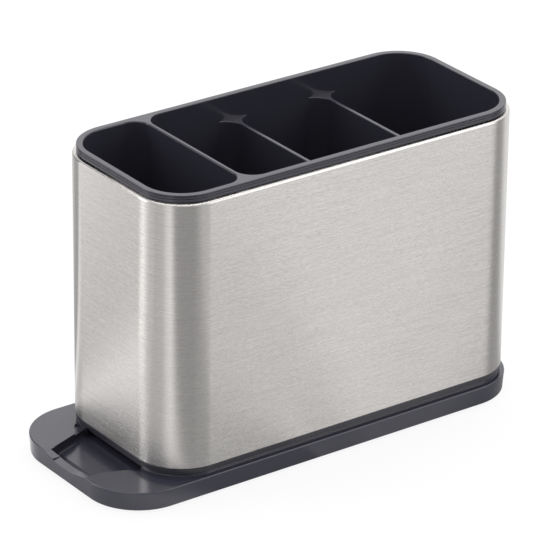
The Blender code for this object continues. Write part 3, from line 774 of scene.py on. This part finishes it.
def channel_cutter(settings):
    """The funnel to the pouring lip, whose floor falls from the holder to a crest with a groove past it."""
    end_wall = 4.2 * MM
    groove_width = 4.0 * MM
    crest_run = 1.4 * MM
    flank_round = 2.0 * MM
    end_slope = 0.6
    floor_rise = 0.4 * MM
    end_x = TRAY_LOW.x + end_wall
    groove_x = end_x + groove_width
    crest_x = groove_x + crest_run
    mouth_x = SLEEVE_LOW.x + LIP_INSET + LIP_WIDTH + CUT_OVERLAP
    low_z = WELL_Z + floor_rise
    groove_z = 4.3 * MM
    crest_z = 5.3 * MM
    lean_z = 8.8 * MM
    rise = 2.0 * MM
    top_z = TRAY_HIGH.z + rise
    half_end = settings.channel_end / 2
    half_mouth = settings.channel_mouth / 2
    tool = start_block("channel_tool", Plan(end_x, mouth_x, half_mouth), low_z, top_z)
    pick("EDGE", lambda edge: at_level(edge, low_z) and abs(edge.verts[0].co.x - edge.verts[1].co.x) > NEAR)
    round_off(flank_round, ROUND_SEGMENTS)
    slice_at((0.0, 0.0, lean_z), (0.0, 0.0, 1.0))
    for x in (groove_x, crest_x, SLEEVE_LOW.x):
        slice_at((x, 0.0, 0.0), (1.0, 0.0, 0.0))
    for x, z in ((end_x, groove_z), (groove_x, groove_z), (crest_x, crest_z), (SLEEVE_LOW.x, HEAD_Z)):
        pick("VERT", lambda vert: abs(vert.co.x - x) < NEAR and vert.co.z < lean_z - NEAR)
        bpy.ops.transform.translate(value=(0.0, 0.0, z - low_z))
        half = half_end + (half_mouth - half_end) * (x - end_x) / (SLEEVE_LOW.x - end_x)
        pick("VERT", lambda vert: abs(vert.co.x - x) < NEAR)
        bpy.ops.transform.resize(value=(1.0, half / half_mouth, 1.0), center_override=(x, 0.0, 0.0))
    pick("VERT", lambda vert: abs(vert.co.x - end_x) < NEAR and vert.co.z > top_z - NEAR)
    bpy.ops.transform.translate(value=(-end_slope * (top_z - lean_z), 0.0, 0.0))
    return tool


def sill_block(half_mouth):
    """The low sill between the channel and the well, with its edge over the well rounded."""
    length = 6.5 * MM
    side_bury = 3.0 * MM
    bury = 0.5 * MM
    edge_round = 1.5 * MM
    plan = Plan(SLEEVE_LOW.x - bury, SLEEVE_LOW.x + length, half_mouth + side_bury)
    sill = start_block("sill_block", plan, WELL_Z - bury, HEAD_Z)
    pick("EDGE", lambda edge: at_level(edge, HEAD_Z) and middle_of(edge).x > plan.high_x - NEAR)
    round_off(edge_round, ROUND_SEGMENTS)
    return sill


def ear_cutter(half_mouth):
    """The shallow recesses beside the channel's mouth, whose edges swing out to the lip."""
    start_y = 22.25 * MM
    reach = 6.5 * MM
    length = 8.0 * MM
    depth = 1.0 * MM
    lip_clearance = 0.5 * MM
    count = 18
    end_y = half_mouth + reach
    wall_x = SLEEVE_LOW.x + LIP_INSET - lip_clearance
    plan = Plan(wall_x - length, wall_x, end_y)
    tool = start_block("ear_tool", plan, APRON_Z - depth, APRON_Z + CUT_RISE)
    for number in range(1, count):
        slice_at((wall_x - length * number / count, 0.0, 0.0), (1.0, 0.0, 0.0))
    for number in range(count):
        share = number / count
        x = wall_x - length * (1 - share)
        half = start_y + (end_y - start_y) * (1 - math.cos(math.pi * share)) / 2
        pick("VERT", lambda vert: abs(vert.co.x - x) < NEAR)
        bpy.ops.transform.resize(value=(1.0, half / end_y, 1.0), center_override=(x, 0.0, 0.0))
    return tool


def notch_cutter(settings, half_width, fall):
    """A stretch of the notch's arc across the end wall, whose floor falls outwards."""
    reach = 6.5 * MM
    count = 24
    low_x = TRAY_LOW.x - CUT_OVERLAP
    low_z = APRON_Z - CUT_OVERLAP
    plan = Plan(low_x, TRAY_LOW.x + reach, half_width)
    tool = start_block("notch_tool", plan, low_z, APRON_Z + CUT_RISE)
    places = [half_width * (2 * number / count - 1) for number in range(count + 1)]
    for y in places[1:-1]:
        slice_at((0.0, y, 0.0), (0.0, 1.0, 0.0))
    for y in places:
        floor_z = APRON_Z - settings.notch_depth * (1 - (2 * y / settings.notch_width) ** 2)
        pick("VERT", lambda vert: abs(vert.co.y - y) < NEAR and vert.co.z < low_z + NEAR)
        bpy.ops.transform.translate(value=(0.0, 0.0, floor_z - low_z))
    pick("VERT", lambda vert: vert.co.x < low_x + NEAR and vert.co.z < APRON_Z + CUT_OVERLAP)
    bpy.ops.transform.translate(value=(0.0, 0.0, -fall))
    return tool


def core_cutter(side, plan):
    """The hollow under the apron beside the channel, which keeps the moulding's wall even."""
    wall = 2.8 * MM
    ceiling_z = 7.0 * MM
    well_wall = 2.2 * MM
    near_y = 27.2 * MM
    far_x = SLEEVE_LOW.x + LIP_INSET + LIP_WIDTH - well_wall
    core = start_block("core_tool", plan.drawn_in(wall), TRAY_LOW.z - CUT_OVERLAP, ceiling_z)
    slice_at((far_x, 0.0, 0.0), (1.0, 0.0, 0.0), use_fill=True, clear_outer=True)
    slice_at((0.0, side * near_y, 0.0), (0.0, -side, 0.0), use_fill=True, clear_outer=True)
    return core


def lip_end(y):
    """A knob that rounds off the lip where the channel breaks it."""
    top_round = 0.8 * MM
    bury = 1.0 * MM
    slack = 0.02 * MM
    x = SLEEVE_LOW.x + LIP_INSET + LIP_WIDTH / 2
    end = cylinder("lip_end", LIP_WIDTH / 2 - slack, APRON_Z - bury, TRAY_HIGH.z, x, y)
    edit(end)
    pick("EDGE", lambda edge: at_level(edge, TRAY_HIGH.z))
    round_off(top_round, ROUND_SEGMENTS)
    return end


class DRAINER_OT_tray(bpy.types.Operator):
    """Models the drip tray with its lip, well, channel and pouring notch"""

    bl_idname = "drainer.tray"
    bl_label = "Drip Tray"

    def execute(self, context):
        settings = context.scene.drainer_tray
        radius = context.scene.drainer_sleeve.corner_radius + SHELF_WIDTH
        plan = Plan(TRAY_LOW.x, TRAY_HIGH.x, TRAY_HIGH.y, radius, radius)
        half_mouth = settings.channel_mouth / 2
        notch_margin = 0.3 * MM
        beak_fall = 0.9 * MM
        tray = tray_slab(plan)
        add_lip(tray)
        combine(tray, well_cutter(), "DIFFERENCE")
        combine(tray, channel_cutter(settings), "DIFFERENCE")
        combine(tray, sill_block(half_mouth), "UNION")
        combine(tray, ear_cutter(half_mouth), "DIFFERENCE")
        for side in (-1, 1):
            combine(tray, core_cutter(side, plan), "DIFFERENCE")
            combine(tray, lip_end(side * half_mouth), "UNION")
        combine(tray, notch_cutter(settings, settings.notch_width / 2 + notch_margin, 0.0), "DIFFERENCE")
        combine(tray, notch_cutter(settings, settings.beak_width / 2, beak_fall), "DIFFERENCE")
        for name in FOOT_NODES:
            low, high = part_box(name)
            middle = (low + high) / 2
            recess = cylinder(
                "recess_tool", (high.x - low.x) / 2 + SEAT_GAP, TRAY_LOW.z - CUT_OVERLAP, high.z + SEAT_GAP,
                middle.x, middle.y)
            combine(tray, recess, "DIFFERENCE")
        finish = moulded_plastic("tray_plastic", settings.colour, *TRAY_FINISH)
        finish_piece(tray, finish, "tray", "tray_plastic", "drip_tray")
        return {"FINISHED"}


# Base frame and feet


class DrainerFrameSettings(bpy.types.PropertyGroup):
    upstand_inset: FloatProperty(
        name="Upstand", description="How far the upstand lies inside the steel",
        default=3.3 * MM, unit="LENGTH")
    ledge: FloatProperty(
        name="Ledge", description="Width of the ledge that the caddy stands on",
        default=4.6 * MM, unit="LENGTH")
    colour: FloatVectorProperty(
        name="Plastic", description="Colour of the frame's plastic",
        default=(0.027, 0.027, 0.037), subtype="COLOR")
    rubber_colour: FloatVectorProperty(
        name="Rubber", description="Colour of the feet", default=(0.018, 0.018, 0.018), subtype="COLOR")


def snap_hooks(upstand, sheet):
    """The wedges on the upstand that catch over the sleeve's lower return, joined into one tool."""
    catch_z = SLEEVE_LOW.z + sheet + SEAT_GAP
    height = 1.6 * MM
    reach = 0.8 * MM
    tip = 0.1 * MM
    hook_half = 6.0 * MM
    spacing = 62.0 * MM
    side_y = SLEEVE_HIGH.y - upstand
    end_x = (SLEEVE_HIGH.x - SLEEVE_LOW.x) / 2 - upstand
    middle_x = (SLEEVE_HIGH.x + SLEEVE_LOW.x) / 2
    hook = start_block("hook", Plan(-hook_half, hook_half, reach), catch_z, catch_z + height)
    pick("VERT", lambda vert: vert.co.z > catch_z + height / 2 and vert.co.y < 0.0)
    bpy.ops.transform.translate(value=(0.0, 2 * reach - tip, 0.0))
    places = [(middle_x + number * spacing, -side_y, 0.0) for number in (-1, 0, 1)]
    places += [(middle_x + number * spacing, side_y, math.pi) for number in (-1, 0, 1)]
    places += [(middle_x - end_x, 0.0, -math.pi / 2), (middle_x + end_x, 0.0, math.pi / 2)]
    return repeated(hook, places)


def frame_ring(settings, ledge):
    """The ring, whose section runs from its flange up to the ledge inside and back down the skirt."""
    flange_round = 0.3 * MM
    skirt_gap = 0.4 * MM
    low_z = TRAY_HIGH.z + SEAT_GAP
    top_z = SLEEVE_LOW.z - SEAT_GAP
    flange = FRAME_LOW.x - SLEEVE_LOW.x
    level = flange + flange_round
    upstand = settings.upstand_inset
    skirt = LIP_INSET + LIP_WIDTH + skirt_gap
    ring = start_block("frame_ring", holder_plan(flange), low_z + flange_round, top_z - flange_round)
    pick_cap(1)
    draw_in(1, quarter(flange_round, SMALL_SEGMENTS, True))
    draw_in(1, [(upstand - level, 0.0), (0.0, FRAME_HIGH.z - top_z), (FRAME_WALL, 0.0)])
    draw_in(1, [(0.0, LEDGE_TOP_Z - FRAME_HIGH.z), (ledge - upstand - FRAME_WALL, 0.0)])
    bpy.ops.mesh.delete(type="FACE")
    pick_cap(-1)
    draw_in(-1, quarter(flange_round, SMALL_SEGMENTS, True))
    draw_in(-1, [(skirt - level, 0.0), (0.0, low_z - FRAME_LOW.z), (FRAME_WALL, 0.0)])
    draw_in(-1, [(0.0, FRAME_LOW.z - LEDGE_LOW_Z), (ledge - skirt - FRAME_WALL, 0.0)])
    bpy.ops.mesh.delete(type="FACE")
    pick("EDGE", lambda edge: edge.is_boundary)
    bpy.ops.mesh.bridge_edge_loops()
    bpy.ops.mesh.select_all(action="SELECT")
    bpy.ops.mesh.normals_make_consistent(inside=False)
    return ring


def frame_bar(x, half_span):
    """A cross bar under one of the caddy's dividers, with its long edges rounded."""
    half_thickness = 3.0 * MM
    edge_round = 0.4 * MM
    drop = 0.1 * MM
    plan = Plan(x - half_thickness, x + half_thickness, half_span)
    bar = start_block("frame_bar", plan, LEDGE_LOW_Z + drop, LEDGE_TOP_Z - drop)
    pick("EDGE", lambda edge: abs(edge.verts[0].co.y - edge.verts[1].co.y) > half_span)
    round_off(edge_round, SMALL_SEGMENTS)
    return bar


class DRAINER_OT_frame(bpy.types.Operator):
    """Models the ring inside the sleeve's foot, with its ledge, bars and snap hooks"""

    bl_idname = "drainer.frame"
    bl_label = "Base Frame"

    def execute(self, context):
        settings = context.scene.drainer_frame
        sheet = context.scene.drainer_sleeve.sheet
        bar_bite = 2.3 * MM
        ledge = settings.upstand_inset + FRAME_WALL + settings.ledge
        half_span = SLEEVE_HIGH.y - ledge + bar_bite
        ring = frame_ring(settings, ledge)
        for x in divider_places(context.scene.drainer_caddy):
            combine(ring, frame_bar(x, half_span), "UNION")
        combine(ring, snap_hooks(settings.upstand_inset, sheet), "UNION")
        finish = moulded_plastic("frame_plastic", settings.colour, *FRAME_FINISH)
        finish_piece(ring, finish, "holder", "frame_plastic", "base_frame")
        return {"FINISHED"}


class DRAINER_OT_feet(bpy.types.Operator):
    """Models the four rubber feet"""

    bl_idname = "drainer.feet"
    bl_label = "Rubber Feet"

    def execute(self, context):
        finish = rubber(context.scene.drainer_frame.rubber_colour)
        edge_round = 0.5 * MM
        edge_segments = 4
        for name in FOOT_NODES:
            low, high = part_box(name)
            middle = (low + high) / 2
            foot = cylinder(name + "_pad", (high.x - low.x) / 2, low.z, high.z, middle.x, middle.y)
            edit(foot)
            pick("EDGE", lambda edge: at_level(edge, low.z))
            round_off(edge_round, edge_segments)
            finish_piece(foot, finish, "tray", "foot_rubber", name)
        return {"FINISHED"}


# Studio

# How bright the room is, by the direction in degrees from +X over +Y: low down, higher up and overhead. The
# floor also glows with the low room, read by place, as a painted reflection.
LOW_ROOM = (
    (0, 1.00), (84, 0.85), (98, 0.70), (109, 0.45), (122, 0.45), (127, 1.30), (131, 1.20), (134, 0.80),
    (142, 0.72), (147, 0.90), (152, 1.24), (158, 1.20), (164, 0.96), (171, 0.74), (180, 0.62), (196, 0.68),
    (204, 1.02), (211, 1.16), (215, 0.75), (219, 0.33), (262, 0.33), (266, 0.74), (274, 0.64), (286, 0.62),
    (300, 0.84), (322, 0.74), (333, 0.33), (345, 0.38))
HIGH_ROOM = (
    (0, 1.00), (20, 1.20), (45, 1.38), (66, 1.34), (84, 0.85), (96, 0.20), (122, 0.14), (127, 1.15),
    (134, 1.60), (150, 1.80), (158, 0.80), (164, 0.58), (200, 0.60), (211, 1.05), (219, 0.40), (260, 0.42),
    (290, 0.82), (320, 0.78), (335, 0.40))
TOP_ROOM = ((0, 2.10), (60, 2.20), (90, 1.60), (110, 1.00), (300, 1.00), (335, 1.80))

# The brightest level that the room can hold
BRIGHTEST = 2.4

# The heights, as the Z of a direction, between which each room gives way to the next
ROOM_BLENDS = ((0.1, 0.25, HIGH_ROOM), (0.52, 0.68, TOP_ROOM))

# The share of the floor that glows to the camera and in reflections
FLOOR_GLOW = 0.88

# Soft boxes, each by its name, place, sides and watts, and the point they face
LAMPS = (
    ("top_box", (0.2, 0.3, 1.9), (1.6, 1.2), 9.0),
    ("left_box", (-1.55, 1.13, 0.8), (0.7, 1.2), 8.0),
    ("front_box", (1.4, -1.7, 0.9), (1.0, 1.2), 8.0),
)
LAMP_AIM = (0.0, 0.0, 0.08)


class DrainerStageSettings(bpy.types.PropertyGroup):
    floor_colour: FloatVectorProperty(
        name="Floor", description="Colour of the floor", default=(0.86, 0.86, 0.86), subtype="COLOR")
    light_level: FloatProperty(
        name="Light", description="Level of the lamps", default=1.0)


def area_light(name, place, size, power):
    """A soft box at place that faces the drainer."""
    light = bpy.data.lights.new(name, "AREA")
    light.shape = "RECTANGLE"
    light.size, light.size_y = size
    light.energy = power
    lamp = bpy.data.objects.new(name, light)
    bpy.context.collection.objects.link(lamp)
    lamp.location = place
    lamp.rotation_euler = (Vector(LAMP_AIM) - Vector(place)).to_track_quat("-Z", "Y").to_euler()


def camera_setup():
    """The camera stands where the photograph was taken, found from the straight edges."""
    target = Vector((4.51, 0.0, 83.94)) * MM
    distance = 2017.95 * MM
    azimuth = math.radians(-36.03)
    elevation = math.radians(25.0)
    roll = math.radians(0.63)
    back = Vector((
        math.sin(azimuth) * math.cos(elevation),
        -math.cos(azimuth) * math.cos(elevation),
        math.sin(elevation)))
    right = Vector((math.cos(azimuth), math.sin(azimuth), 0.0))
    up = back.cross(right)
    turned_right = right * math.cos(roll) + up * math.sin(roll)
    turned_up = up * math.cos(roll) - right * math.sin(roll)
    camera = bpy.data.cameras.new("camera")
    camera.sensor_width = 36.0
    camera.lens = 274.6
    camera.shift_x = -0.01725
    camera.shift_y = -0.01507
    camera.clip_start = 0.05
    camera.clip_end = 50.0
    stand = bpy.data.objects.new("camera", camera)
    bpy.context.collection.objects.link(stand)
    matrix = Matrix((turned_right, turned_up, back)).transposed().to_4x4()
    matrix.translation = target + back * distance
    stand.matrix_world = matrix
    bpy.context.scene.camera = stand


def room_level(tree, direction, room):
    """How bright the studio's screens and gaps are, going round the object."""
    around = add_node(tree, "ShaderNodeTexGradient", {"Vector": direction}, gradient_type="RADIAL")
    ramp = add_node(tree, "ShaderNodeValToRGB", {"Fac": around.outputs["Fac"]})
    stops = ramp.color_ramp.elements
    stops.remove(stops[-1])
    for degrees, level in room:
        grey = level / BRIGHTEST
        stops.new(((degrees + 180) % 360) / 360).color = (grey, grey, grey, 1.0)
    stops.remove(stops[0])
    return shaded(tree, ramp.outputs["Color"], BRIGHTEST)


def floor_material(colour):
    """A pale floor that shows white to the camera, keeps the shadow and shows a painted reflection of the
    room in the steel.
    """
    material, tree, shader, place = new_material("floor")
    set_inputs(tree, shader, {"Base Color": (*colour, 1.0), "Roughness": 0.9, "Specular IOR Level": 0.0})
    ray = tree.nodes.new("ShaderNodeLightPath").outputs
    seen = computed(tree, "MAXIMUM", ray["Is Camera Ray"], ray["Is Glossy Ray"])
    # Painted reflection: glossy rays see the floor glow with the low room's screens and gaps, read by place
    # round the object
    tone = mixed_colours(tree, ray["Is Camera Ray"], room_level(tree, place, LOW_ROOM), WHITE)
    glow = add_node(tree, "ShaderNodeEmission", {"Color": tone, "Strength": 1.0})
    share = computed(tree, "MULTIPLY", seen, FLOOR_GLOW)
    mixed = add_node(tree, "ShaderNodeMixShader", {0: share, 1: shader.outputs[0], 2: glow.outputs[0]})
    set_inputs(tree, tree.nodes["Material Output"], {"Surface": mixed.outputs[0]})
    return material


def studio_world():
    """A pale room with lit screens and darker gaps between them, white to the camera."""
    world = bpy.data.worlds.new("studio")
    bpy.context.scene.world = world
    world.use_nodes = True
    tree = world.node_tree
    direction = tree.nodes.new("ShaderNodeTexCoord").outputs["Generated"]
    height = add_node(tree, "ShaderNodeSeparateXYZ", {0: direction}).outputs["Z"]
    tone = room_level(tree, direction, LOW_ROOM)
    for low, high, room in ROOM_BLENDS:
        share = spread(tree, height, (low, high), (0.0, 1.0))
        tone = mixed_colours(tree, share, tone, room_level(tree, direction, room))
    ray = tree.nodes.new("ShaderNodeLightPath").outputs
    shown = mixed_colours(tree, ray["Is Camera Ray"], tone, WHITE)
    set_inputs(tree, tree.nodes["Background"], {"Color": shown})


class DRAINER_OT_stage(bpy.types.Operator):
    """Sets up the floor, the light and the camera"""

    bl_idname = "drainer.stage"
    bl_label = "Studio"

    def execute(self, context):
        settings = context.scene.drainer_stage
        select_nothing()
        bpy.ops.mesh.primitive_plane_add(size=8.0, location=(0.0, 0.0, 0.0))
        floor = name_active("floor")
        floor.data.materials.append(floor_material(settings.floor_colour))
        for name, place, size, watts in LAMPS:
            area_light(name, place, size, watts * settings.light_level)
        studio_world()
        camera_setup()
        context.scene.view_settings.view_transform = "Standard"
        return {"FINISHED"}


class DRAINER_PT_panel(bpy.types.Panel):
    """The drainer's sizes, colours and steps"""

    bl_label = "Cutlery Drainer"
    bl_idname = "DRAINER_PT_panel"
    bl_space_type = "VIEW_3D"
    bl_region_type = "UI"
    bl_category = "Drainer"

    def draw(self, context):
        scene = context.scene
        sections = (
            (scene.drainer_sleeve, "drainer.sleeve",
             ("corner_radius", "sheet", "edge_radius", "foot_radius", "return_width", "colour")),
            (scene.drainer_caddy, "drainer.caddy",
             ("first_pocket", "divider", "divider_drop", "mouth_round", "colour")),
            (scene.drainer_tray, "drainer.tray",
             ("channel_mouth", "channel_end", "notch_width", "notch_depth", "beak_width", "colour")),
            (scene.drainer_frame, "drainer.frame", ("upstand_inset", "ledge", "colour")),
            (scene.drainer_frame, "drainer.feet", ("rubber_colour",)),
            (scene.drainer_stage, "drainer.stage", ("floor_colour", "light_level")),
        )
        for settings, operator, names in sections:
            box = self.layout.box()
            for name in names:
                box.prop(settings, name)
            box.operator(operator)


SETTINGS = {
    "drainer_sleeve": DrainerSleeveSettings,
    "drainer_caddy": DrainerCaddySettings,
    "drainer_tray": DrainerTraySettings,
    "drainer_frame": DrainerFrameSettings,
    "drainer_stage": DrainerStageSettings,
}
CLASSES = (
    *SETTINGS.values(),
    DRAINER_OT_sleeve,
    DRAINER_OT_caddy,
    DRAINER_OT_tray,
    DRAINER_OT_frame,
    DRAINER_OT_feet,
    DRAINER_OT_stage,
    DRAINER_PT_panel,
)


def register():
    for item in CLASSES:
        bpy.utils.register_class(item)
    for name, kind in SETTINGS.items():
        setattr(bpy.types.Scene, name, PointerProperty(type=kind))


def unregister():
    for name in SETTINGS:
        delattr(bpy.types.Scene, name)
    for item in reversed(CLASSES):
        bpy.utils.unregister_class(item)


def main():
    register()
    bpy.ops.drainer.stage()
    bpy.ops.drainer.sleeve()
    bpy.ops.drainer.caddy()
    bpy.ops.drainer.tray()
    bpy.ops.drainer.frame()
    bpy.ops.drainer.feet()


if __name__ == "__main__":
    main()
